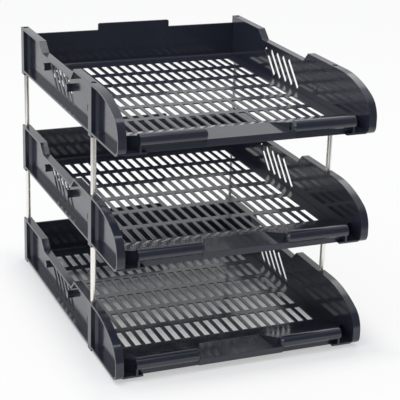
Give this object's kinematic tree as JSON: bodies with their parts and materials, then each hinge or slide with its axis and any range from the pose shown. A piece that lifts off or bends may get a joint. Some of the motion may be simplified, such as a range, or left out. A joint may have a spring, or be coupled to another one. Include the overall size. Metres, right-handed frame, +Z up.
{
  "type": "three-tier letter tray stack",
  "caption": "Open stacking letter trays with slotted decks and moulded side panels, carried one above the other on plain round metal posts.",
  "frame": {"origin": "middle of the footprint, on the surface the feet stand on", "axes": "+Z up, -Y towards the user at the open front, +X to the user's right"},
  "size_m": [0.26, 0.332, 0.274],
  "materials": {
    "dark_plastic": "polished injection-moulded polystyrene, very dark blue-grey",
    "plated_steel": "bright nickel-chrome plating on steel rod"
  },
  "bodies": {
    "root": {"bottom_left_side": "dark_plastic", "bottom_right_side": "dark_plastic", "bottom_deck": "dark_plastic", "bottom_back_panel": "dark_plastic", "lower_front_left_post": "plated_steel", "lower_front_right_post": "plated_steel", "lower_rear_left_post": "plated_steel", "lower_rear_right_post": "plated_steel"},
    "middle_tray": {"middle_left_side": "dark_plastic", "middle_right_side": "dark_plastic", "middle_deck": "dark_plastic", "middle_back_panel": "dark_plastic", "upper_front_left_post": "plated_steel", "upper_front_right_post": "plated_steel", "upper_rear_left_post": "plated_steel", "upper_rear_right_post": "plated_steel"},
    "top_tray": {"top_left_side": "dark_plastic", "top_right_side": "dark_plastic", "top_deck": "dark_plastic", "top_back_panel": "dark_plastic"}
  },
  "joints": [
    {"name": "lift_middle_tray", "type": "slide", "parent": "root", "child": "middle_tray", "axis": [0, 0, 1], "range_m": [0, 0.025]},
    {"name": "lift_top_tray", "type": "slide", "parent": "middle_tray", "child": "top_tray", "axis": [0, 0, 1], "range_m": [0, 0.025]}
  ]
}
